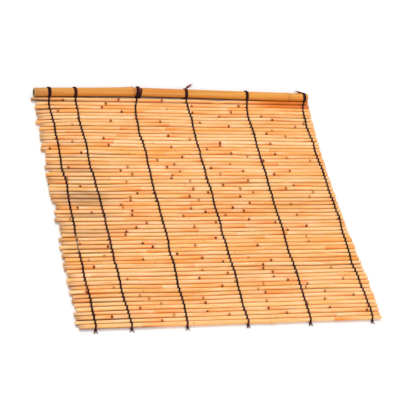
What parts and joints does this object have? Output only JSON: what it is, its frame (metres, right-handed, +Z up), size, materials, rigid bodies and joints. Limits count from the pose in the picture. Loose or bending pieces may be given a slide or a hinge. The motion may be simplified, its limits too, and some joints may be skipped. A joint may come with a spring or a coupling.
{
  "type": "bamboo screening",
  "caption": "Flat screen of thin natural canes tied side by side with lines of dark twine under a thicker bamboo head pole, shown unrolled.",
  "frame": {"origin": "middle of the outline on the floor, under the unrolled screen", "axes": "X along the canes, +Y towards the head pole, +Z up from the floor"},
  "size_m": [0.91, 0.8996, 0.0342],
  "materials": {
    "pole_bamboo": "smooth dry culm",
    "cane": "dry satin reed",
    "twine": "rough twisted fibre"
  },
  "bodies": {
    "root": {"head_pole": "pole_bamboo", "cane_pair_01": "cane", "cane_pair_02": "cane", "cane_pair_03": "cane", "cane_pair_04": "cane", "cane_pair_05": "cane", "cane_pair_06": "cane", "cane_pair_07": "cane", "cane_pair_08": "cane", "cane_pair_09": "cane", "cane_pair_10": "cane", "cane_pair_11": "cane", "cane_pair_12": "cane", "cane_pair_13": "cane", "cane_pair_14": "cane", "cane_pair_15": "cane", "cane_pair_16": "cane", "cane_pair_17": "cane", "cane_pair_18": "cane", "cane_pair_19": "cane", "cane_pair_20": "cane", "cane_pair_21": "cane", "cane_pair_22": "cane", "cane_pair_23": "cane", "cane_pair_24": "cane", "cane_pair_25": "cane", "cane_pair_26": "cane", "cane_pair_27": "cane", "cane_pair_28": "cane", "cane_pair_29": "cane", "cane_pair_30": "cane", "twine_line_1": "twine", "twine_line_2": "twine", "twine_line_3": "twine", "twine_line_4": "twine", "twine_line_5": "twine", "twine_line_6": "twine"}
  },
  "joints": []
}
